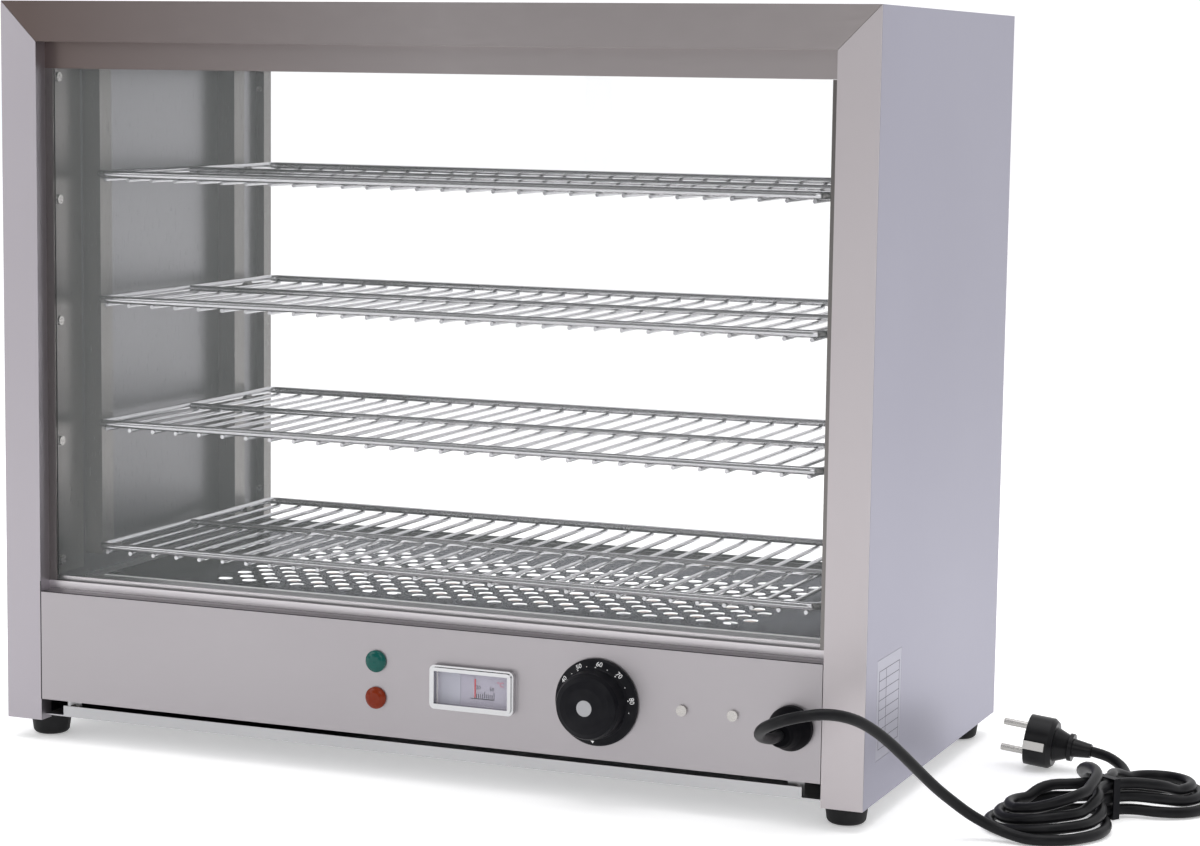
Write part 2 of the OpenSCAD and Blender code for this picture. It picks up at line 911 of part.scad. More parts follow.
module rear_posts() {
    color("gray")
        body_frame()
            both_sides()
                difference() {
                    union() {
                        span([post_x, rear_in, 0], [half_w - sheet_t, body_d, body_h - sheet_t]);
                        span([post_x, track_y + 3, track_z], [post_x + sheet_t, body_d, ceiling_z]);
                        span([post_x, track_y + 3, track_z], [in_x, track_y + 3 + sheet_t, ceiling_z]);
                    }
                    for (z = post_screw_z)
                        rod_y(in_x - post_screw_in, z, track_y + 2, track_y + 5, post_screw_head / 2 + 0.4);
                }
}

module rear_top_track() {
    rib_y = (door_y1 + door_t + door_y2) / 2;
    color("gray")
        body_frame() {
            span([-in_x, track_y, rear_top_z], [in_x, track_y + sheet_t, ceiling_z]);
            span([-post_x, track_y, ceiling_z - sheet_t], [post_x, rear_in, ceiling_z]);
            span([-post_x, rib_y - 0.2, rear_top_z + 6], [post_x, rib_y + 0.2, ceiling_z]);
            span([-post_x, rear_in, rear_top_z], [post_x, body_d, body_h - sheet_t]);
        }
}

module rear_bottom_track() {
    rib_y = (door_y1 + door_t + door_y2) / 2;
    color("gray")
        body_frame() {
            span([-in_x, track_y, track_z], [in_x, track_y + sheet_t, track_z + 9]);
            span([-post_x, track_y, track_z], [post_x, body_d, track_z + sheet_t]);
            span([-post_x, rib_y - 0.2, track_z], [post_x, rib_y + 0.2, track_z + 5]);
            span([-post_x, rear_in, track_z], [post_x, body_d, track_z + 9]);
        }
}

module rear_lower_panel() {
    color("silver")
        body_frame()
            difference() {
                span([-post_x, rear_in, base_z], [post_x, body_d, track_z]);
                for (i = [-6:6])
                    span([i * 30 - 10, rear_in - 1, 40], [i * 30 + 10, body_d + 1, 44]);
            }
}

// Sliding glass door with a ground finger grip in its rear face
module glass_door(x0, y0, grip_x) {
    grip_z = (door_z0 + door_z1) / 2;
    grip_h = 60;
    difference() {
        span([x0, y0, door_z0], [x0 + door_w, y0 + door_t, door_z1]);
        span([grip_x - 8, y0 + door_t - 1.5, grip_z - grip_h / 2],
             [grip_x + 8, y0 + door_t + 1, grip_z + grip_h / 2]);
        for (s = [-1, 1])
            rod_y(grip_x, grip_z + s * grip_h / 2, y0 + door_t - 1.5, y0 + door_t + 1, 16, 48);
    }
}

module door_left() {
    color("aliceblue", 0.3)
        body_frame()
            glass_door(-door_end, door_y1, -door_end + 26);
}

module door_right() {
    color("aliceblue", 0.3)
        body_frame()
            glass_door(door_end - door_w, door_y2, door_end - 26);
}

module feet() {
    color("black")
        body_frame()
            for (x = [-foot_x, foot_x], y = [foot_y_in, body_d - foot_y_in])
                translate([x, y, floor_z])
                    rotate_extrude($fn = 64)
                        foot_outline();
}

// Half outline of a foot: a taper with a rounded lower edge and the screw inside
module foot_outline() {
    r = 4;
    rb = foot_bottom_d / 2;
    top = foot_h + base_z;
    polygon(concat(
        [[0, 0]],
        [for (a = [-90:15:-10]) [rb - r + r * cos(a), r + r * sin(a)]],
        [[foot_top_d / 2, top], [foot_screw_d / 2, top], [foot_screw_d / 2, top + 5], [0, top + 5]]
    ));
}

module cord_gland() {
    color("black")
        body_frame()
            translate([gland_x, 0, gland_z])
                rotate([90, 0, 0])
                    difference() {
                        union() {
                            rotate_extrude($fn = 64)
                                polygon([
                                    [0, 0], [gland_d / 2, 0], [gland_d / 2, 5],
                                    [gland_d / 2 - 1.5, 9], [gland_d / 2 - 3.5, 14],
                                    [gland_d / 2 - 5, 19], [gland_d / 2 - 6, gland_out - 3],
                                    [gland_d / 2 - 7.5, gland_out], [0, gland_out]
                                ]);
                            translate([0, 0, -14])
                                cylinder(d = gland_shank_d, h = 14 + eps, $fn = 48);
                            translate([0, 0, -6])
                                cylinder(d = 26, h = 6 - sheet_t, $fn = 6);
                        }
                    }
}

function unit(v) = v / norm(v);

// Ring of a tube round a point, square to the way the tube runs
function tube_ring(p, t, r, n) =
    let (side = unit(cross([0, 0, 1], t)), up = cross(t, side))
    [for (k = [0:n - 1]) p + r * (cos(360 * k / n) * side + sin(360 * k / n) * up)];

function tangent(pts, i) =
    unit(pts[min(i + 1, len(pts) - 1)] - pts[max(i - 1, 0)]);

// Solid tube through a list of points, with flat ends square to the given directions
module tube(pts, r, n, t_start, t_end) {
    m = len(pts);
    rings = [
        for (i = [0:m - 1])
            tube_ring(pts[i], i == 0 ? t_start : i == m - 1 ? t_end : tangent(pts, i), r, n)
    ];
    points = [for (ring = rings) for (p = ring) p];
    sides = [
        for (i = [0:m - 2], k = [0:n - 1])
            let (a = i * n + k, b = i * n + (k + 1) % n)
            each [[a, b, b + n], [a, b + n, a + n]]
    ];
    start_cap = [for (k = [1:n - 2]) [0, k + 1, k]];
    end_cap = [for (k = [1:n - 2]) [(m - 1) * n, (m - 1) * n + k, (m - 1) * n + k + 1]];
    polyhedron(points = points, faces = concat(sides, start_cap, end_cap), convexity = 10);
}

// Smooth point between route points i and i + 1
function spline(p, i, f) =
    let (a = p[max(i - 1, 0)], b = p[i], c = p[i + 1], d = p[min(i + 2, len(p) - 1)])
    0.5 * (2 * b + (c - a) * f + (2 * a - 5 * b + 4 * c - d) * f * f
           + (3 * b - a - 3 * c + d) * f * f * f);

function length_of(p, i = 0, sum = 0) =
    i >= len(p) - 1 ? sum : length_of(p, i + 1, sum + norm(p[i + 1] - p[i]));

function smooth(x) = let (c = max(0, min(1, x))) c * c * (3 - 2 * c);

module cord_lead() {
    fine = concat(
        [for (i = [0:len(lead_pts) - 2], f = [0, 0.5]) spline(lead_pts, i, f)],
        [lead_pts[len(lead_pts) - 1]]
    );
    color("black")
        body_frame()
            tube(fine, cord_r, 8, [0, -1, 0], hank_start_dir);
}

// The hank's outer loop runs round two lobes, left and right, with hollow bends at the waist
hank_step = cord_d + hank_gap;
waist_z = waist_r + hank_waist;
lobe_c = [for (r = lobe_r) sqrt(pow(r + waist_r, 2) - pow(waist_z, 2))];
lobe_a = [for (r = lobe_r) asin(waist_z / (r + waist_r))];
function arc(r, a) = r * a * PI / 180;
run_len = [
    arc(lobe_r[0], 90 - lobe_a[0]), arc(waist_r, 180 - lobe_a[0] - lobe_a[1]),
    arc(lobe_r[1], 360 - 2 * lobe_a[1]), arc(waist_r, 180 - lobe_a[0] - lobe_a[1]),
    arc(lobe_r[0], 270 - lobe_a[0])
];
run_end = [for (i = [0:4]) run_len * [for (k = [0:4]) k <= i ? 1 : 0]];
loop_len = run_end[4];
function turned(r, a, c) = [c[0] + r * cos(a), c[1] + r * sin(a)];
function deg(s, r) = s / r * 180 / PI;
// Point and inward direction of the outer loop, at length s along it from the left lobe's near side
function hank_plan(s) =
    s < run_end[0] ? lobe_point(lobe_r[0], -90 + deg(s, lobe_r[0]), -lobe_c[0])
    : s < run_end[1] ? waist_point(180 - lobe_a[0] - deg(s - run_end[0], waist_r), -waist_z)
    : s < run_end[2] ? lobe_point(lobe_r[1], -180 + lobe_a[1] + deg(s - run_end[1], lobe_r[1]), lobe_c[1])
    : s < run_end[3] ? waist_point(-lobe_a[1] - deg(s - run_end[2], waist_r), waist_z)
    : lobe_point(lobe_r[0], lobe_a[0] + deg(s - run_end[3], lobe_r[0]), -lobe_c[0]);
function lobe_point(r, a, c) = [turned(r, a, [c, 0]), [-cos(a), -sin(a)]];
function waist_point(a, c) = [turned(waist_r, a, [0, c]), [cos(a), sin(a)]];
// How far the loops lean inward, from none at the waist to most at the lobes
function hank_lean(u) = lobe_lean * smooth((abs(u) - 8) / 40);
function hank_point(s) =
    let (
        turn = floor(s / loop_len),
        f = s - turn * loop_len,
        pl = hank_plan(f),
        lean = hank_lean(pl[0][0]),
        level = turn + smooth((f - run_end[2] + 50) / (run_len[3] + 100)),
        high = turn + smooth((f - run_end[4] + 85) / 80),
        flat = pl[0] + pl[1] * hank_step * level * sin(lean),
        z = cord_r + (tie_t + 0.3 + hank_step * high) * cos(lean) - (tie_t + 0.3) * (1 - smooth((50 - abs(pl[0][0])) / 40)) * cos(lean)
    )
    hank_lay(flat[0], flat[1], z);
function hank_lay(u, v, z) =
    [hank_c[0] + u * hank_u[0] + v * hank_v[0], hank_c[1] + u * hank_u[1] + v * hank_v[1], z + floor_z];

// The last strand leaves the left lobe for the plug, turning inside it
hank_s1 = hank_loops * loop_len - arc(lobe_r[0], 90);
tail_r = 27;
tail_u = -lobe_c[0] - lobe_r[0] + hank_step * hank_loops * sin(lobe_lean) + tail_r;
tail_z0 = cord_r + hank_step * (hank_loops - 1 + smooth((85 - arc(lobe_r[0], 90)) / 80)) * cos(lobe_lean);
// Places of the rings in one loop, with one at the middle of the waist on each run
waist_s = [run_end[0] + run_len[1] / 2, run_end[2] + run_len[3] / 2];
ring_s = concat(
    [for (i = [0:4]) waist_s[0] * i / 5],
    [for (i = [0:15]) waist_s[0] + (waist_s[1] - waist_s[0]) * i / 16],
    [for (i = [0:14]) waist_s[1] + (loop_len - waist_s[1]) * i / 15]
);
hank_core = [
    for (k = [0:hank_loops - 1]) for (s = ring_s)
        let (at = k * loop_len + s) if (at < hank_s1 - 6) hank_point(at)
];
tail_turn = [
    for (i = [0:5])
        hank_lay(tail_u - tail_r * cos(22 * i), -tail_r * sin(22 * i), tail_z0 + (28.5 - tail_z0) * smooth(i / 5.5 + 0.1))
];
hank_tail = [for (p = TAIL) hank_lay(p[0], p[1], p[2])];
hank_pts = concat(hank_core, tail_turn, hank_tail);
hank_start_dir = [hank_u[0], hank_u[1], 0];
plug_dir = unit(hank_lay(84 + cos(122), 93 + sin(122), 0.105) - hank_lay(84, 93, 0));

function least_gap(p, skip) = min([
    for (i = [0:len(p) - 1 - skip], j = [i + skip:len(p) - 1]) norm(p[i] - p[j])
]) - cord_d;

lead_pts = concat(
    [for (k = [0:2]) [gland_x, -gland_out - 9 * k, gland_z + 0.4 * k * k]],
    [for (p = LEAD) [p[0], p[1], p[2] + floor_z]],
    [hank_core[0]]
);
hank_fine = [for (s = [0:4:hank_s1]) hank_point(s)];
echo(cord_length = length_of(lead_pts) + length_of(hank_pts), hank_length = length_of(hank_pts));
echo(hank_least_gap = least_gap(hank_fine, 9), hank_start = hank_core[0]);

module cord_hank() {
    color("black")
        body_frame()
            tube(hank_pts, cord_r, 6, hank_start_dir, plug_dir);
}

// Band round the waist of the hank
module cord_tie() {
    w = hank_waist + cord_r + 1.4;
    h = 2 * cord_r + hank_step * (hank_loops - 1) + 0.6;
    color("dimgray")
        body_frame()
            translate([hank_c[0], hank_c[1], floor_z])
                rotate([0, 0, atan2(hank_u[1], hank_u[0])])
                    difference() {
                        span([-tie_w / 2, -w - tie_t, 0], [tie_w / 2, w + tie_t, h + 2 * tie_t]);
                        span([-tie_w, -w, tie_t], [tie_w, w, h + tie_t]);
                    }
}

// Plug in line with the cord's end, with its two pins
module mains_plug() {
    p = hank_tail[len(hank_tail) - 1];
    turn = atan2(plug_dir[1], plug_dir[0]);
    tilt = -asin(plug_dir[2]);
    color("black")
        body_frame()
            translate(p)
                rotate([0, tilt + 90, turn]) {
                    cylinder(d1 = 10, d2 = 13.5, h = 13, $fn = 32);
                    translate([0, 0, 13 - eps])
                        cylinder(d = 20, h = 3, $fn = 32);
                    translate([0, 0, 16 - 2 * eps])
                        cylinder(d1 = 17, d2 = 25, h = 10, $fn = 48);
                    translate([0, 0, 26 - 3 * eps])
                        cylinder(d1 = 32, d2 = plug_d, h = 3, $fn = 48);
                    translate([0, 0, 29 - 4 * eps])
                        cylinder(d = plug_d, h = 17, $fn = 64);
                    for (s = [-1, 1])
                        translate([-s * 9.5, 0, 46 - 5 * eps])
                            cylinder(d = 4.8, h = 19, $fn = 24);
                    for (s = [-1, 1])
                        span([-3, s * plug_d / 2 - 0.5, 31], [3, s * plug_d / 2 + 0.5, 46 - 5 * eps]);
                }
}

base_pan();
base_screws();
left_side_panel();
right_side_panel();
top_panel();
trim_top();
trim_left();
trim_right();
lintel();
sill();
glass_channel_left();
glass_channel_right();
glass_seal();
front_glass();
left_liner();
right_liner();
ceiling_liner();
liner_screws();
uprights_left();
uprights_right();
shelf_1();
shelf_2();
shelf_3();
shelf_4();
perforated_floor();
heater_tray();
heater_front();
heater_rear();
heater_clips();
control_panel();
panel_screws();
terminal_block();
thermostat_body();
thermostat_shaft();
dial_knob();
knob_disc();
thermostat_bulb();
sensor_bulb();
thermometer_case();
thermometer_bezel();
thermometer_dial();
thermometer_pointer();
thermometer_window();
lamp_green();
lamp_amber();
lamp_bodies();
inner_wiring();
rear_posts();
rear_top_track();
rear_bottom_track();
rear_lower_panel();
door_left();
door_right();
feet();
rating_plate();
cord_gland();
cord_lead();
cord_hank();
cord_tie();
mains_plug();
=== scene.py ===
"""Looks of the plate warmer cabinet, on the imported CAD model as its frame.

Places on the cabinet, the cord and the print are in millimetres and go through at() or MM. The
camera, the lights, the floor and the depths in the materials are in metres.
"""

import json
import math

import bmesh
import bpy
from mathutils import Matrix, Vector


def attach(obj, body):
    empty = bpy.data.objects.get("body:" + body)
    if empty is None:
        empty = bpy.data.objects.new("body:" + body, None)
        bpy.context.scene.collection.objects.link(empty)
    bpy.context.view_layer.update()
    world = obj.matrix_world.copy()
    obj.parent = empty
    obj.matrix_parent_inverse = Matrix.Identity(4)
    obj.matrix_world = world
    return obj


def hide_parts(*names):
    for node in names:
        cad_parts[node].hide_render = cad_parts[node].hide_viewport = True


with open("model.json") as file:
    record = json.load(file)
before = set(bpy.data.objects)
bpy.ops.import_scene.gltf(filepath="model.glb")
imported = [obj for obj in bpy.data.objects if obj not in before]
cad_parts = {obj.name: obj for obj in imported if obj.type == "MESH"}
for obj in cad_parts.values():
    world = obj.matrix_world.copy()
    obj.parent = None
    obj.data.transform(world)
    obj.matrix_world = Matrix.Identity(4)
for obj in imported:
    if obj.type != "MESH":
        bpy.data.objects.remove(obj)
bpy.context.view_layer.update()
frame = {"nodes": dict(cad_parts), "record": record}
nodes = frame["nodes"]

FRONT_Y = -156.0
FOOT_H = 15.0
MM = 0.001
PI = math.pi

# Camera: place in metres, yaw, pitch and roll in degrees, focal length on a 36 mm sensor
CAMERA_PLACE = (0.8736, -1.9474, 0.4945)
CAMERA_TURN = (22.26, 6.87, 0.79)
CAMERA_LENS = 87.3


def at(x, y, z):
    """Point of the shared frame from millimetres off the front face and the body's lower edge."""
    return Vector((x * MM, (y + FRONT_Y) * MM, (z + FOOT_H) * MM))


def make_camera():
    """The photo's camera, fitted to the cabinet's corners; turned by yaw, pitch and roll."""
    yaw, pitch, roll = (math.radians(angle) for angle in CAMERA_TURN)
    fwd = Vector((
        -math.sin(yaw) * math.cos(pitch), math.cos(yaw) * math.cos(pitch), -math.sin(pitch),
    ))
    level = Vector((math.cos(yaw), math.sin(yaw), 0.0))
    above = level.cross(fwd)
    right = level * math.cos(roll) + above * math.sin(roll)
    up = above * math.cos(roll) - level * math.sin(roll)
    data = bpy.data.cameras.new("camera")
    data.lens = CAMERA_LENS
    data.sensor_width = 36.0
    data.clip_start = 0.05
    data.clip_end = 50.0
    cam = bpy.data.objects.new("camera", data)
    bpy.context.scene.collection.objects.link(cam)
    rot = Matrix((right, up, -fwd)).transposed().to_4x4()
    cam.matrix_world = Matrix.Translation(Vector(CAMERA_PLACE)) @ rot
    bpy.context.scene.camera = cam


make_camera()


def new_material(name, color, rough, metal=0.0, alpha=1.0, coat=0.0, spec=0.5):
    """A new material with its node tree and its shader."""
    mat = bpy.data.materials.new(name)
    mat.use_nodes = True
    shader = mat.node_tree.nodes["Principled BSDF"]
    shader.inputs["Base Color"].default_value = (*color, 1.0)
    shader.inputs["Roughness"].default_value = rough
    shader.inputs["Metallic"].default_value = metal
    shader.inputs["Alpha"].default_value = alpha
    shader.inputs["Coat Weight"].default_value = coat
    shader.inputs["Specular IOR Level"].default_value = spec
    return mat, mat.node_tree, shader


def noise(tree, stretch, size, detail=3.0, rough=0.55):
    """Noise in object coordinates, stretched along the axes."""
    coord = tree.nodes.new("ShaderNodeTexCoord")
    mapping = tree.nodes.new("ShaderNodeMapping")
    mapping.inputs["Scale"].default_value = stretch
    tex = tree.nodes.new("ShaderNodeTexNoise")
    tex.inputs["Scale"].default_value = size
    tex.inputs["Detail"].default_value = detail
    tex.inputs["Roughness"].default_value = rough
    tree.links.new(coord.outputs["Object"], mapping.inputs["Vector"])
    tree.links.new(mapping.outputs["Vector"], tex.inputs["Vector"])
    return tex


def ramp(tree, src, lo, hi, p0=0.3, p1=0.7):
    """Colour ramp from lo to hi over the noise."""
    node = tree.nodes.new("ShaderNodeValToRGB")
    node.color_ramp.elements[0].position = p0
    node.color_ramp.elements[1].position = p1
    node.color_ramp.elements[0].color = (*lo, 1.0)
    node.color_ramp.elements[1].color = (*hi, 1.0)
    tree.links.new(src, node.inputs["Fac"])
    return node


def span_map(tree, src, lo, hi):
    """Value from lo to hi while the source runs from 0 to 1."""
    node = tree.nodes.new("ShaderNodeMapRange")
    node.inputs["To Min"].default_value = lo
    node.inputs["To Max"].default_value = hi
    tree.links.new(src, node.inputs["Value"])
    return node


def bump(tree, shader, src, depth, strength):
    """Relief of the source on the shader's normal, its depth in metres."""
    node = tree.nodes.new("ShaderNodeBump")
    node.inputs["Distance"].default_value = depth
    node.inputs["Strength"].default_value = strength
    tree.links.new(src, node.inputs["Height"])
    tree.links.new(node.outputs["Normal"], shader.inputs["Normal"])


def tones(color, vary):
    """The darker and the lighter tone of a colour."""
    return tuple(max(0.0, c - vary) for c in color), tuple(min(1.0, c + vary) for c in color)


def brushed(name, color, rough, grain=(2.0, 60.0, 60.0), vary=0.05, depth=0.00002, spread=0.08):
    """Satin stainless sheet: fine grain along one axis with soft cloudy patches."""
    mat, tree, shader = new_material(name, color, rough, metal=1.0)
    fine = noise(tree, grain, 30.0, 4.0, 0.6)
    cloud = noise(tree, (1.0, 1.0, 1.0), 5.0, 2.0)
    tone = ramp(tree, cloud.outputs["Fac"], *tones(color, vary), 0.25, 0.75)
    tree.links.new(tone.outputs["Color"], shader.inputs["Base Color"])
    gloss = span_map(tree, fine.outputs["Fac"], rough - spread, rough + spread)
    tree.links.new(gloss.outputs["Result"], shader.inputs["Roughness"])
    bump(tree, shader, fine.outputs["Fac"], depth, 0.35)
    return mat


def moulded(name, color, rough, grain=900.0, depth=0.00003, coat=0.0, vary=0.01, spec=0.5):
    """Moulded plastic or rubber with a fine grain."""
    mat, tree, shader = new_material(name, color, rough, coat=coat, spec=spec)
    fine = noise(tree, (1.0, 1.0, 1.0), grain, 3.0)
    cloud = noise(tree, (1.0, 1.0, 1.0), 60.0, 2.0)
    tone = ramp(tree, cloud.outputs["Fac"], *tones(color, vary))
    tree.links.new(tone.outputs["Color"], shader.inputs["Base Color"])
    gloss = span_map(tree, fine.outputs["Fac"], max(0.02, rough - 0.06), rough + 0.06)
    tree.links.new(gloss.outputs["Result"], shader.inputs["Roughness"])
    bump(tree, shader, fine.outputs["Fac"], depth, 0.4)
    return mat


def chromed(name, color, rough):
    """Bright plated metal with faint smears."""
    mat, tree, shader = new_material(name, color, rough, metal=1.0)
    cloud = noise(tree, (1.0, 1.0, 1.0), 90.0, 3.0)
    gloss = span_map(tree, cloud.outputs["Fac"], rough * 0.6, rough * 1.8)
    tree.links.new(gloss.outputs["Result"], shader.inputs["Roughness"])
    return mat


def glass(name, tint, alpha, smear):
    """Thin clear sheet: mostly see-through, with a sharp surface reflection and faint smears."""
    mat, tree, shader = new_material(name, tint, 0.02, alpha=alpha)
    shader.inputs["IOR"].default_value = 1.5
    cloud = noise(tree, (1.0, 1.0, 2.5), 9.0, 4.0)
    gloss = span_map(tree, cloud.outputs["Fac"], 0.0, smear)
    tree.links.new(gloss.outputs["Result"], shader.inputs["Roughness"])
    mat.surface_render_method = "BLENDED"
    return mat


def painted_shade_along(mat, axis, start, end, lo, hi):
    """Painted light and shade: tone from lo to hi between two places along an axis of the cabinet,
    in metres.
    """
    tree = mat.node_tree
    coord = tree.nodes.new("ShaderNodeTexCoord")
    parts = tree.nodes.new("ShaderNodeSeparateXYZ")
    tree.links.new(coord.outputs["Object"], parts.inputs["Vector"])
    share = span_map(tree, parts.outputs[axis], 0.0, 1.0)
    share.inputs["From Min"].default_value = start
    share.inputs["From Max"].default_value = end
    tone = ramp(tree, share.outputs["Result"], lo, hi, 0.0, 1.0)
    tree.links.new(tone.outputs["Color"], tree.nodes["Principled BSDF"].inputs["Base Color"])


def painted_light_walls(mat):
    """Painted light: white walls in the floor plate's holes, told by their sideways normals."""
    tree = mat.node_tree
    shader = tree.nodes["Principled BSDF"]
    wall = tree.nodes.new("ShaderNodeBsdfPrincipled")
    wall.inputs["Base Color"].default_value = (0.95, 0.95, 0.95, 1.0)
    wall.inputs["Roughness"].default_value = 0.5
    geometry = tree.nodes.new("ShaderNodeNewGeometry")
    parts = tree.nodes.new("ShaderNodeSeparateXYZ")
    tree.links.new(geometry.outputs["True Normal"], parts.inputs["Vector"])
    size = tree.nodes.new("ShaderNodeMath")
    size.operation = "ABSOLUTE"
    tree.links.new(parts.outputs["Z"], size.inputs[0])
    flat = tree.nodes.new("ShaderNodeMath")
    flat.operation = "LESS_THAN"
    flat.inputs[1].default_value = 0.5
    tree.links.new(size.outputs["Value"], flat.inputs[0])
    mix = tree.nodes.new("ShaderNodeMixShader")
    tree.links.new(flat.outputs["Value"], mix.inputs["Fac"])
    tree.links.new(shader.outputs["BSDF"], mix.inputs[1])
    tree.links.new(wall.outputs["BSDF"], mix.inputs[2])
    tree.links.new(mix.outputs["Shader"], tree.nodes["Material Output"].inputs["Surface"])


# Stretch of the grain's noise along the axes: the grain runs along the axis with the low number
LEVEL = (2.0, 60.0, 60.0)
LEVEL_SHORT = (3.0, 60.0, 60.0)
UPRIGHT = (60.0, 60.0, 2.0)
UPRIGHT_SHORT = (60.0, 60.0, 3.0)
FINE = (60.0, 60.0, 60.0)
COARSE = (20.0, 20.0, 20.0)

MATS = {
    "zinc_sheet": brushed("zinc", (0.46, 0.46, 0.47), 0.38, COARSE, vary=0.04, depth=0.000002),
    "fasteners": brushed(
        "screw_steel", (0.40, 0.385, 0.37), 0.28, COARSE, vary=0.05, depth=0.000002),
    "skin_steel": brushed(
        "skin_steel", (0.325, 0.318, 0.385), 0.42, UPRIGHT,
        vary=0.008, depth=0.000004, spread=0.03),
    "trim_steel": brushed(
        "trim_steel", (0.465, 0.432, 0.445), 0.42, UPRIGHT,
        vary=0.008, depth=0.000005, spread=0.04),
    # Painted shade: the left trim's steel is a darker copy of the trim steel.
    "left_trim_shaded_steel": brushed(
        "left_trim_shaded_steel", (0.405, 0.38, 0.41), 0.44, UPRIGHT,
        vary=0.008, depth=0.000005, spread=0.04),
    "panel_steel": brushed(
        "panel_steel", (0.38, 0.358, 0.373), 0.42, LEVEL, vary=0.008, depth=0.000005, spread=0.04),
    "top_steel": brushed("top_steel", (0.3, 0.3, 0.3), 0.34, LEVEL, vary=0.01, depth=0.000004),
    # Painted light: the sill's steel is a lighter copy of the steel of the front.
    "sill_lit_steel": brushed(
        "sill_lit_steel", (0.62, 0.59, 0.61), 0.36, LEVEL, vary=0.01, depth=0.000004, spread=0.04),
    # Painted shade: the steel of the inside walls, the uprights and the floor plate are darker
    # copies of the outer steel.
    "liner_steel": brushed(
        "liner_steel", (0.20, 0.196, 0.208), 0.28, UPRIGHT_SHORT,
        vary=0.01, depth=0.000001, spread=0.02),
    "upright_steel": brushed(
        "upright_steel", (0.165, 0.155, 0.15), 0.28, UPRIGHT_SHORT,
        vary=0.008, depth=0.000001, spread=0.02),
    "floor_steel": brushed(
        "floor_steel", (0.075, 0.075, 0.082), 0.14, LEVEL_SHORT,
        vary=0.008, depth=0.000001, spread=0.02),
    "seal_rubber": moulded("seal_rubber", (0.012, 0.012, 0.012), 0.5),
    "clear_glass": glass("clear_glass", (0.9, 0.95, 0.94), 0.05, 0.02),
    "door_glass": glass("door_glass", (0.93, 0.96, 0.96), 0.018, 0.02),
    "chromed_wire": chromed("chromed_wire", (0.45, 0.445, 0.46), 0.10),
    "heater_sheath": brushed("heater_sheath", (0.16, 0.14, 0.13), 0.5, COARSE),
    "white_plastic": moulded("white_plastic", (0.78, 0.77, 0.76), 0.4),
    "black_plastic": moulded(
        "black_plastic", (0.006, 0.006, 0.008), 0.42,
        grain=500.0, depth=0.000006, vary=0.003, spec=0.1),
    "gland_rubber": moulded(
        "gland_rubber", (0.003, 0.003, 0.004), 0.5,
        grain=500.0, depth=0.000006, vary=0.001, spec=0.04),
    "disc_metal": brushed("disc_metal", (0.30, 0.30, 0.31), 0.3, FINE),
    "copper_tube": brushed("copper_tube", (0.6, 0.33, 0.2), 0.35, COARSE),
    "bezel_chrome": chromed("bezel_chrome", (0.50, 0.50, 0.51), 0.12),
    "dial_card": moulded("dial_card", (0.40, 0.38, 0.46), 0.55),
    "side_card": moulded("side_card", (0.42, 0.42, 0.49), 0.55),
    "pointer_red": moulded("pointer_red", (0.62, 0.03, 0.04), 0.45),
    "clear_window": glass("clear_window", (0.93, 0.93, 0.96), 0.03, 0.02),
    "green_lens": moulded(
        "green_lens", (0.003, 0.078, 0.066), 0.16,
        grain=420.0, depth=0.0004, coat=0.1, vary=0.003, spec=0.2),
    "amber_lens": moulded(
        "amber_lens", (0.18, 0.022, 0.001), 0.16,
        grain=420.0, depth=0.0004, coat=0.1, vary=0.01, spec=0.12),
    "wire_sleeve": moulded("wire_sleeve", (0.30, 0.05, 0.04), 0.6),
    "foot_rubber": moulded(
        "foot_rubber", (0.014, 0.014, 0.015), 0.6,
        grain=700.0, depth=0.00005, vary=0.004, spec=0.2),
    "foil_plate": brushed("foil_plate", (0.355, 0.35, 0.41), 0.38, FINE, vary=0.02, depth=0.000002),
    "cord_rubber": moulded(
        "cord_rubber", (0.006, 0.006, 0.007), 0.40, depth=0.00002, vary=0.003, spec=0.16),
    "plug_rubber": moulded(
        "plug_rubber", (0.006, 0.006, 0.007), 0.34, depth=0.00002, vary=0.003, spec=0.2),
    "pin_metal": chromed("pin_metal", (0.46, 0.45, 0.43), 0.16),
    "print_white": moulded("print_white", (0.8, 0.8, 0.8), 0.5),
    "print_black": moulded("print_black", (0.02, 0.02, 0.03), 0.5),
    "print_pink": moulded("print_pink", (0.62, 0.08, 0.14), 0.5),
    # Painted shadow in the gaps between the sheets.
    "seam_shade": moulded(
        "seam_shade", (0.03, 0.028, 0.03), 0.6, depth=0.000002, vary=0.004, spec=0.1),
    # Painted highlight: bright strip along the fold under the sill.
    "painted_edge_highlight": chromed("painted_edge_highlight", (0.80, 0.78, 0.80), 0.14),
}

# Painted reflection on the top trim and the lintel: dark brown at the left, lighter towards the
# right.
painted_shade_along(
    MATS["top_steel"], "X", -0.31, 0.02, (0.135, 0.105, 0.098), (0.355, 0.325, 0.325))
# Painted shade on the inside walls: darker towards the bottom.
painted_shade_along(
    MATS["liner_steel"], "Z", 0.12, 0.34, (0.105, 0.102, 0.108), (0.205, 0.20, 0.212))
# Painted light: the walls of the floor plate's holes are white instead of bare steel.
painted_light_walls(MATS["floor_steel"])
dim_edge = MATS["floor_steel"].node_tree.nodes["Principled BSDF"].inputs["Specular Tint"]
dim_edge.default_value = (0.35, 0.35, 0.37, 1.0)

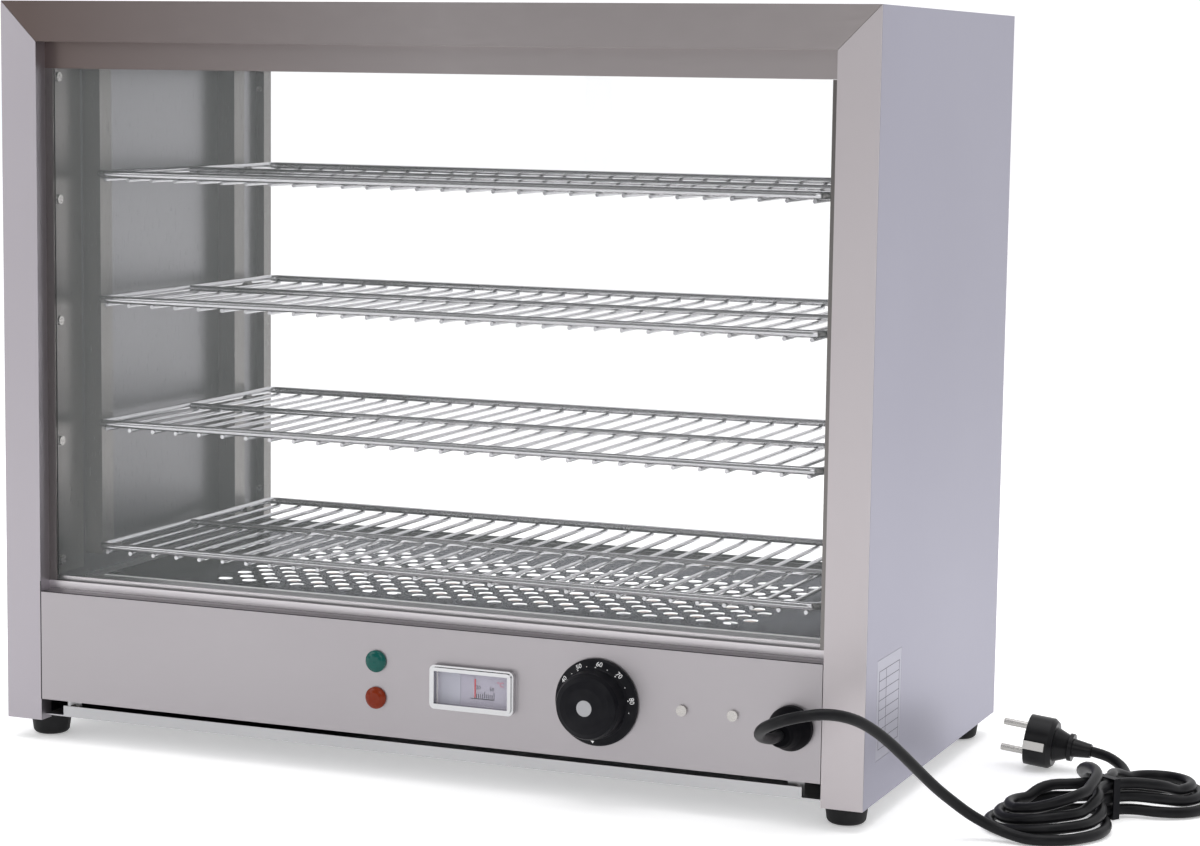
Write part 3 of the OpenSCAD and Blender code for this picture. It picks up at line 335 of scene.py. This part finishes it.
# Nodes that take another look than their material slot's
SPECIAL = {
    "trim_top": "top_steel",
    "lintel": "top_steel",
    "trim_left": "left_trim_shaded_steel",
    "uprights_left": "upright_steel",
    "uprights_right": "upright_steel",
    "rear_posts": "upright_steel",
    "glass_channel_left": "upright_steel",
    "glass_channel_right": "upright_steel",
    "perforated_floor": "floor_steel",
    "sill": "sill_lit_steel",
    "cord_gland": "gland_rubber",
    "door_left": "door_glass",
    "door_right": "door_glass",
}
for part in frame["record"]["subparts"]:
    name = part["node"]
    mat = MATS[SPECIAL.get(name, part["material_slot"])]
    obj = nodes[name]
    for place in obj.material_slots:
        place.material = mat
    if not obj.material_slots:
        obj.data.materials.append(mat)


def mesh_piece(name, mesh, mat, body="cabinet"):
    """A piece of its own from a mesh, riding on a body."""
    obj = bpy.data.objects.new(name, mesh)
    bpy.context.scene.collection.objects.link(obj)
    mesh.materials.append(MATS[mat])
    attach(obj, body)
    return obj


def text_mesh(name, words, size, depth):
    """Flat letters as a mesh, in their own plane, centred."""
    data = bpy.data.curves.new(name, "FONT")
    data.body = words
    data.size = size
    data.extrude = depth
    data.align_x = "CENTER"
    data.align_y = "CENTER"
    data.resolution_u = 4
    tmp = bpy.data.objects.new(name + "_tmp", data)
    bpy.context.scene.collection.objects.link(tmp)
    graph = bpy.context.evaluated_depsgraph_get()
    mesh = bpy.data.meshes.new_from_object(tmp.evaluated_get(graph))
    bpy.data.objects.remove(tmp)
    bpy.data.curves.remove(data)
    mesh.name = name
    return mesh


def joined(parts):
    """One mesh from several (mesh, matrix) pairs."""
    bm = bmesh.new()
    for mesh, matrix in parts:
        tmp = bmesh.new()
        tmp.from_mesh(mesh)
        tmp.transform(matrix)
        hold = bpy.data.meshes.new("hold")
        tmp.to_mesh(hold)
        tmp.free()
        bm.from_mesh(hold)
        bpy.data.meshes.remove(hold)
    out = bpy.data.meshes.new("joined")
    bm.to_mesh(out)
    bm.free()
    return out


def disc_mesh(radius, depth, sides):
    """Round disc or rod about its own z axis, centred."""
    bm = bmesh.new()
    bmesh.ops.create_cone(
        bm, cap_ends=True, segments=sides, radius1=radius, radius2=radius, depth=depth)
    mesh = bpy.data.meshes.new("disc")
    bm.to_mesh(mesh)
    bm.free()
    return mesh


def box_mesh(lo, hi):
    """Box between two corners."""
    bm = bmesh.new()
    bmesh.ops.create_cube(bm, size=1.0)
    mid = (lo + hi) / 2
    size = hi - lo
    bm.transform(Matrix.Translation(mid) @ Matrix.Diagonal((*size, 1.0)))
    mesh = bpy.data.meshes.new("box")
    bm.to_mesh(mesh)
    bm.free()
    return mesh


# Cord in millimetres, x and y off the front face's middle, z over the counter. Each loop of the
# hank is a dumbbell: two lobes on the u axis, and between them a waist that two bends pinch in
CORD_D = 7.5
CORD_R = CORD_D / 2
HANK_C = (464.0, 118.0)
HANK_U = (0.515, 0.857)
HANK_V = (-0.857, 0.515)
LOBE_R = (42.0, 36.0)
WAIST_R = 23.0
WAIST = 5.2
LOOPS = 3
# Spacing of the strands, lean of the lobes, and how far the waist is raised
STEP = 8.9
LEAN = math.radians(48.0)
LIFT = 1.3
LEAN_FROM, DIP_FROM, LEAN_OVER = 8, 50, 40
SHIFT_AHEAD = 50
CLIMB_AHEAD, CLIMB_OVER = 85, 80
# The hank's line is cut short and sampled; an arc then takes the cord up to the tail's first point
CORE_CUT, CORE_STEP = 6, 5
TAIL_STEPS, TAIL_ANGLE, TAIL_TOP = 6, 22, 28.5
TAIL_RISE, TAIL_START = 5.5, 0.1
LEAD = [
    (280, -26, 67), (280, -35, 67.4), (280, -44, 68.6),
    (280, -61, 73.5), (282, -70.5, 78), (287.5, -79.5, 83.5), (296, -86, 88.5), (306.5, -89, 93),
    (317.5, -88, 96), (327.5, -82.5, 97), (337, -73.5, 95), (345, -62, 90), (352, -49.5, 82),
    (358.5, -36.5, 72), (365, -23.5, 60.5), (371.5, -10.5, 48.5), (379, 1.5, 36.5), (387.5, 12, 26),
    (397, 19.5, 17), (407.5, 24, 10.5), (419, 25, 6.3), (431, 23.2, 4.2), (442, 23.3, 3.75),
    (452.5, 27.2, 3.75), (462, 34.8, 3.75),
]
TAIL = [
    (-37, -21.8, 30), (-29.5, -17.8, 31.4), (-21.5, -12.6, 32.6), (-14.2, -5.5, 33.3),
    (-8.5, 3.5, 33.4), (-3, 13.5, 31.6), (3, 23, 28), (11, 32, 23.5), (21, 38.5, 18.5),
    (33, 42.5, 14), (46, 44.5, 9.5), (59.3, 45.6, 6), (73.2, 49.8, 5), (82.1, 57.5, 6.8),
    (87.5, 68.1, 9.8), (88.4, 80.9, 13.2), (84, 93, 15.3),
]


def smooth(x):
    """Ease from 0 to 1."""
    c = max(0.0, min(1.0, x))
    return c * c * (3 - 2 * c)


def hank_lay(u, v, z):
    """Point along the hank's own axes, z over the counter, as at() takes it."""
    return Vector((
        HANK_C[0] + u * HANK_U[0] + v * HANK_V[0],
        HANK_C[1] + u * HANK_U[1] + v * HANK_V[1],
        z - FOOT_H,
    ))


WAIST_OFF = WAIST_R + WAIST
LOBE_C = [math.sqrt((r + WAIST_R) ** 2 - WAIST_OFF ** 2) for r in LOBE_R]
LOBE_A = [math.asin(WAIST_OFF / (r + WAIST_R)) for r in LOBE_R]
# Lengths of the five arcs of one loop, and where each ends
RUN = [
    LOBE_R[0] * (PI / 2 - LOBE_A[0]), WAIST_R * (PI - sum(LOBE_A)),
    LOBE_R[1] * (2 * PI - 2 * LOBE_A[1]), WAIST_R * (PI - sum(LOBE_A)),
    LOBE_R[0] * (1.5 * PI - LOBE_A[0]),
]
END = [sum(RUN[: k + 1]) for k in range(5)]
LOOP = END[4]


def lobe_point(r, a, c):
    """Point and inward direction on a lobe of radius r about c, at angle a."""
    return (c + r * math.cos(a), r * math.sin(a)), (-math.cos(a), -math.sin(a))


def waist_point(a, c):
    """The same on a bend of the waist about c, its hollow side out."""
    return (WAIST_R * math.cos(a), c + WAIST_R * math.sin(a)), (math.cos(a), math.sin(a))


def hank_plan(s):
    """Point and inward direction of the first loop at length s along it, seen from above."""
    if s < END[0]:
        return lobe_point(LOBE_R[0], -PI / 2 + s / LOBE_R[0], -LOBE_C[0])
    if s < END[1]:
        return waist_point(PI - LOBE_A[0] - (s - END[0]) / WAIST_R, -WAIST_OFF)
    if s < END[2]:
        return lobe_point(LOBE_R[1], -PI + LOBE_A[1] + (s - END[1]) / LOBE_R[1], LOBE_C[1])
    if s < END[3]:
        return waist_point(-LOBE_A[1] - (s - END[2]) / WAIST_R, WAIST_OFF)
    return lobe_point(LOBE_R[0], LOBE_A[0] + (s - END[3]) / LOBE_R[0], -LOBE_C[0])


def hank_point(s):
    """Point of the cord's middle at length s along the hank, each loop leaning in over the last."""
    turn = math.floor(s / LOOP)
    f = s - turn * LOOP
    p, n = hank_plan(f)
    lean = LEAN * smooth((abs(p[0]) - LEAN_FROM) / LEAN_OVER)
    level = turn + smooth((f - END[2] + SHIFT_AHEAD) / (RUN[3] + 2 * SHIFT_AHEAD))
    high = turn + smooth((f - END[4] + CLIMB_AHEAD) / CLIMB_OVER)
    shift = STEP * level * math.sin(lean)
    z = CORD_R + (LIFT + STEP * high) * math.cos(lean)
    z -= LIFT * (1 - smooth((DIP_FROM - abs(p[0])) / LEAN_OVER)) * math.cos(lean)
    return hank_lay(p[0] + n[0] * shift, p[1] + n[1] * shift, z)


HANK_END = LOOPS * LOOP - LOBE_R[0] * PI / 2
TAIL_R = 27.0
TAIL_U = -LOBE_C[0] - LOBE_R[0] + STEP * LOOPS * math.sin(LEAN) + TAIL_R
TAIL_HIGH = LOOPS - 1 + smooth((CLIMB_AHEAD - LOBE_R[0] * PI / 2) / CLIMB_OVER)
TAIL_Z = CORD_R + STEP * TAIL_HIGH * math.cos(LEAN)


def spline(points, steps):
    """Points of a smooth curve through the given ones."""
    out = []
    last = len(points) - 1
    for i in range(last):
        a, b, c, d = points[max(i - 1, 0)], points[i], points[i + 1], points[min(i + 2, last)]
        for k in range(steps):
            f = k / steps
            out.append(0.5 * (2 * b + (c - a) * f + (2 * a - 5 * b + 4 * c - d) * f * f
                              + (3 * b - a - 3 * c + d) * f ** 3))
    out.append(points[last])
    return out


def cord_line():
    """Middle line of the whole cord, from the gland to the plug."""
    core_end = HANK_END - CORE_CUT
    count = int(core_end / CORE_STEP)
    core = [hank_point(core_end * i / count) for i in range(count + 1)]
    tail = []
    for i in range(TAIL_STEPS):
        a = math.radians(TAIL_ANGLE * i)
        z = TAIL_Z + (TAIL_TOP - TAIL_Z) * smooth(i / TAIL_RISE + TAIL_START)
        tail.append(hank_lay(TAIL_U - TAIL_R * math.cos(a), -TAIL_R * math.sin(a), z))
    tail += [hank_lay(*p) for p in TAIL]
    lead = [Vector((x, y, z - FOOT_H)) for x, y, z in LEAD] + [core[0]]
    line = spline(lead, 3)[:-1] + core[:-1] + spline([core[-1]] + tail, 3)
    return [at(p.x, p.y, p.z) for p in line]


def cord_curve(points):
    """The cord as one round curve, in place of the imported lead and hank."""
    data = bpy.data.curves.new("cord", "CURVE")
    data.dimensions = "3D"
    data.bevel_depth = CORD_R * MM
    data.bevel_resolution = 5
    data.use_fill_caps = True
    line = data.splines.new("POLY")
    line.points.add(len(points) - 1)
    for k, p in enumerate(points):
        line.points[k].co = (*p, 1.0)
    line.use_smooth = True
    obj = bpy.data.objects.new("cord", data)
    bpy.context.scene.collection.objects.link(obj)
    data.materials.append(MATS["cord_rubber"])
    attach(obj, "cabinet")
    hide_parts("cord_lead", "cord_hank")
    return obj


# Plug in millimetres ahead of the tail's end: its heading and rise, the pins, the earth strips
PLUG_WAY = math.radians(122)
PLUG_RISE = 0.105
PLUG_FACE = 46
PIN_D = 4.92
PIN_LEN = 19.1
PIN_OFF = 9.5
STRIP_OFF = 18.25
STRIP_HALF_W, STRIP_HALF_T = 3.1, 0.62
STRIP_ENDS = (30.9, 46.1)


def plug_metal():
    """Bright sleeves on the two pins and plates on the two earth strips, a hair over the plug's."""
    u, v, z = TAIL[-1]
    tip = hank_lay(u, v, z)
    ahead = hank_lay(u + math.cos(PLUG_WAY), v + math.sin(PLUG_WAY), z + PLUG_RISE)
    way = (ahead - tip).normalized()
    turn = Matrix.Rotation(math.atan2(way.y, way.x), 4, "Z")
    tilt = Matrix.Rotation(PI / 2 - math.asin(way.z), 4, "Y")
    place = Matrix.Translation(at(*tip)) @ turn @ tilt
    parts = []
    for s in (-1, 1):
        sleeve = disc_mesh(PIN_D / 2 * MM, PIN_LEN * MM, 40)
        base = Matrix.Translation((-s * PIN_OFF * MM, 0, (PLUG_FACE + PIN_LEN / 2) * MM))
        parts.append((sleeve, place @ base))
        lo = Vector((-STRIP_HALF_W, s * STRIP_OFF - STRIP_HALF_T, STRIP_ENDS[0])) * MM
        hi = Vector((STRIP_HALF_W, s * STRIP_OFF + STRIP_HALF_T, STRIP_ENDS[1])) * MM
        parts.append((box_mesh(lo, hi), place))
    return mesh_piece("plug_metal", joined(parts), "pin_metal")


cord_points = cord_line()
cord = cord_curve(cord_points)
plug_metal()


# Dial: its place, radius and height of the skirt's two edges, and the print at clock angles
KNOB_X, KNOB_Z = 141.3, 56.0
SKIRT_IN, SKIRT_OUT = (24.7, 5.4), (29.0, 3.4)
PRINT_OVER = 0.12
DIAL_NUMBERS = (("40", -58), ("50", -27), ("60", 6), ("70", 40), ("80", 82))
SMALL_DOTS = (-42, -14, 21, 60, 100)
LARGE_DOTS = (-55, -30, 1, 37, 81)
TRIANGLE_CLOCK = 183
NUMBER_SIZE = 4.6


def on_skirt(clock, along):
    """Place of a mark on the skirt at a clock angle in degrees, along from inside to outside."""
    r = SKIRT_IN[0] + (SKIRT_OUT[0] - SKIRT_IN[0]) * along
    h = SKIRT_IN[1] + (SKIRT_OUT[1] - SKIRT_IN[1]) * along + PRINT_OVER
    a = math.radians(clock)
    out = Vector((math.sin(a), 0.0, math.cos(a)))
    face = Vector((0.0, -1.0, 0.0))
    tilt = math.atan2(SKIRT_IN[1] - SKIRT_OUT[1], SKIRT_OUT[0] - SKIRT_IN[0])
    normal = (face * math.cos(tilt) + out * math.sin(tilt)).normalized()
    up = (out * math.cos(tilt) - face * math.sin(tilt)).normalized()
    side = up.cross(normal)
    place = at(KNOB_X, 0, KNOB_Z) + (out * r + face * h) * MM
    return Matrix.Translation(place) @ Matrix((side, up, normal)).transposed().to_4x4()


def dots(clocks, radius, along):
    """Round dots on the skirt."""
    return [(disc_mesh(radius * MM, 0.1 * MM, 16), on_skirt(clock, along)) for clock in clocks]


def knob_print():
    """Numbers, dots and the triangle of the dial."""
    parts = [
        (text_mesh("num", words, NUMBER_SIZE * MM, 0.03 * MM), on_skirt(clock, 0.50))
        for words, clock in DIAL_NUMBERS
    ]
    parts += dots(SMALL_DOTS, 0.32, 0.15) + dots(LARGE_DOTS, 0.5, -0.02)
    tri = bpy.data.meshes.new("tri")
    s = 1.3 * MM
    tri.from_pydata([(-s, -s * 0.6, 0), (s, -s * 0.6, 0), (0, s, 0)], [], [(0, 1, 2)])
    parts.append((tri, on_skirt(TRIANGLE_CLOCK, 0.5)))
    mesh_piece("dial_print", joined(parts), "print_white", "dial")


knob_print()


# Thermometer: its middle, its card's top left corner, and the scale of an enlarged look at the
# photo, in whose own pixels the places on the card were read
THERMO_X, THERMO_Z = 49.0, 56.0
CARD_LEFT, CARD_TOP = THERMO_X - 26.0, THERMO_Z + 12.5
CARD_ZERO = (215, 280)
CARD_SCALE = 1 / 19.86
CARD_Y = 1.28
CARD_PRINT_Y = (1.24, 1.36)
TICKS, TICK_FIRST, TICK_STEP = 11, 735, 29
TICK_HALF, TICK_TALL, TICK_SHORT = 0.22, 5.2, 3.6
SCALE_SIZE, SIGN_SIZE = 3.6, 4.6


def card_x(px):
    """Millimetres across the front for a place read on the card."""
    return CARD_LEFT + (px - CARD_ZERO[0]) * CARD_SCALE


def card_z(py):
    """Millimetres up the front for a place read on the card."""
    return CARD_TOP - (py - CARD_ZERO[1]) * CARD_SCALE


def card_text(name, words, size, px, py):
    """Flat letters on the card."""
    rot = Matrix(((1, 0, 0), (0, 0, -1), (0, 1, 0))).to_4x4()
    place = Matrix.Translation(at(card_x(px), CARD_Y, card_z(py))) @ rot
    return text_mesh(name, words, size * MM, 0.02 * MM), place


def flat_bar(x_ends, z_ends, y_ends):
    """Upright flat bar between ends in millimetres, with its place."""
    lo, hi = zip(x_ends, y_ends, z_ends)
    return box_mesh(at(*lo), at(*hi)), Matrix.Identity(4)


def card_bar(px_ends, py_ends, y_ends=CARD_PRINT_Y):
    """Flat bar on the card, its ends given as read."""
    return flat_bar([card_x(px) for px in px_ends], [card_z(py) for py in py_ends], y_ends)


def thermometer_print():
    """Scale, numbers, sign and side field of the thermometer's card."""
    base = card_z(662)
    black = [flat_bar((card_x(670), card_x(1025)), (base - 0.25, base + 0.25), CARD_PRINT_Y)]
    foot = card_z(660)
    for i in range(TICKS):
        x = card_x(TICK_FIRST + TICK_STEP * i)
        tall = TICK_SHORT if i % 5 else TICK_TALL
        black.append(flat_bar((x - TICK_HALF, x + TICK_HALF), (foot, foot + tall), CARD_PRINT_Y))
    black.append(card_text("t20", "20", SCALE_SIZE, 790, 505))
    black.append(card_text("t50", "50", SCALE_SIZE, 990, 515))
    mesh_piece("thermometer_scale", joined(black), "print_black")
    pink = [card_text("deg", "°C", SIGN_SIZE, 1120, 440), card_bar((285, 430), (575, 560))]
    mesh_piece("thermometer_red_print", joined(pink), "print_pink")
    side = card_bar((215, 520), (780, 280), (1.05, 1.38))[0]
    mesh_piece("thermometer_side_card", side, "side_card")


thermometer_print()


# Ruled lines on the foil plate, in millimetres
LINE_X = (329.95, 330.06)
LINE_T = 0.35
ROWS, ROW_FIRST, ROW_STEP, ROWS_END = 9, 35, 6.6, 88.15
COLUMNS = (31, 47, 77)


def plate_lines():
    """Plain ruled lines on the bare foil plate."""
    parts = []
    for k in range(ROWS):
        z = ROW_FIRST + ROW_STEP * k
        lo, hi = at(LINE_X[0], COLUMNS[0], z), at(LINE_X[1], COLUMNS[-1], z + LINE_T)
        parts.append((box_mesh(lo, hi), Matrix.Identity(4)))
    for y in COLUMNS:
        lo, hi = at(LINE_X[0], y, ROW_FIRST), at(LINE_X[1], y + LINE_T, ROWS_END)
        parts.append((box_mesh(lo, hi), Matrix.Identity(4)))
    mesh_piece("plate_lines", joined(parts), "print_black")


plate_lines()


# Lines of the front, in millimetres: ends across, ends up and ends in depth
PANEL_TOP_SEAM = ((-300.4, 300.4), (96.05, 96.65), (-0.12, 0.2))
PANEL_LEFT_SEAM = ((-301.3, -300.7), (16.0, 104.0), (-0.10, 0.3))
SILL_HIGHLIGHT = ((-300.4, 300.4), (97.0, 97.7), (11.86, 12.1))

# Painted shadow: dark strips in the gaps above and to the left of the control panel.
seam_mesh = joined([flat_bar(*PANEL_TOP_SEAM), flat_bar(*PANEL_LEFT_SEAM)])
mesh_piece("seam_lines", seam_mesh, "seam_shade")
# Painted highlight: a bright strip along the fold under the sill.
mesh_piece("sill_highlight", joined([flat_bar(*SILL_HIGHLIGHT)]), "painted_edge_highlight")


FLOOR_HALF = 9.0
FLOOR_DROP = 0.0004
FLOOR_GLOW = 0.32


def make_floor():
    """Pale table that glows a little, so that the ground comes out white as in the photo."""
    mat, _, shader = new_material("floor", (0.96, 0.96, 0.96), 0.8)
    shader.inputs["Emission Color"].default_value = (1.0, 1.0, 1.0, 1.0)
    shader.inputs["Emission Strength"].default_value = FLOOR_GLOW
    bm = bmesh.new()
    bmesh.ops.create_grid(bm, x_segments=1, y_segments=1, size=FLOOR_HALF)
    mesh = bpy.data.meshes.new("floor")
    bm.to_mesh(mesh)
    bm.free()
    floor = bpy.data.objects.new("floor", mesh)
    floor.location = (0, 0, -FLOOR_DROP)
    bpy.context.scene.collection.objects.link(floor)
    mesh.materials.append(mat)


make_floor()


def aim(place, target):
    """Turn of a light at a place towards its target."""
    return (Vector(target) - Vector(place)).to_track_quat("-Z", "Y").to_euler()


def area(name, place, turn, size, power):
    """White area light, in metres and watts."""
    data = bpy.data.lights.new(name, "AREA")
    data.shape = "RECTANGLE"
    data.size, data.size_y = size
    data.energy = power
    obj = bpy.data.objects.new(name, data)
    obj.location = place
    obj.rotation_euler = turn
    bpy.context.scene.collection.objects.link(obj)


# World: strength in front of the object and behind it, and the span of the change between
WORLD_LEVELS = (0.28, 1.08)
WORLD_SPAN = (-0.75, 0.2)


def make_world():
    """Even white behind the object and a dimmer studio in front of it, by direction."""
    world = bpy.data.worlds.new("world")
    world.use_nodes = True
    tree = world.node_tree
    back = tree.nodes["Background"]
    coord = tree.nodes.new("ShaderNodeTexCoord")
    parts = tree.nodes.new("ShaderNodeSeparateXYZ")
    tree.links.new(coord.outputs["Generated"], parts.inputs["Vector"])
    level = span_map(tree, parts.outputs["Y"], *WORLD_LEVELS)
    level.inputs["From Min"].default_value, level.inputs["From Max"].default_value = WORLD_SPAN
    tree.links.new(level.outputs["Result"], back.inputs["Strength"])
    back.inputs["Color"].default_value = (0.985, 0.985, 1.0, 1.0)
    bpy.context.scene.world = world


make_world()

# Name, place, target, size and power
LIGHTS = (
    ("top", (0.2, -0.2, 2.4), (0, 0, 0.3), (2.4, 1.8), 26),
    ("left", (-2.2, -1.6, 1.4), (0, 0, 0.3), (1.4, 1.8), 17),
    ("front_fill", (0.6, -2.4, 1.2), (0, 0.1, 0.3), (1.2, 1.2), 9),
)
for name, place, target, size, power in LIGHTS:
    area(name, place, aim(place, target), size, power)
# Inside the heater tray, facing up: it brightens the floor's holes, as the photo's ground does
area("tray_glow", (0, 0.03, 0.0775), (PI, 0.0, 0.0), (0.5, 0.24), 1.7)

bpy.context.scene.view_settings.view_transform = "Standard"
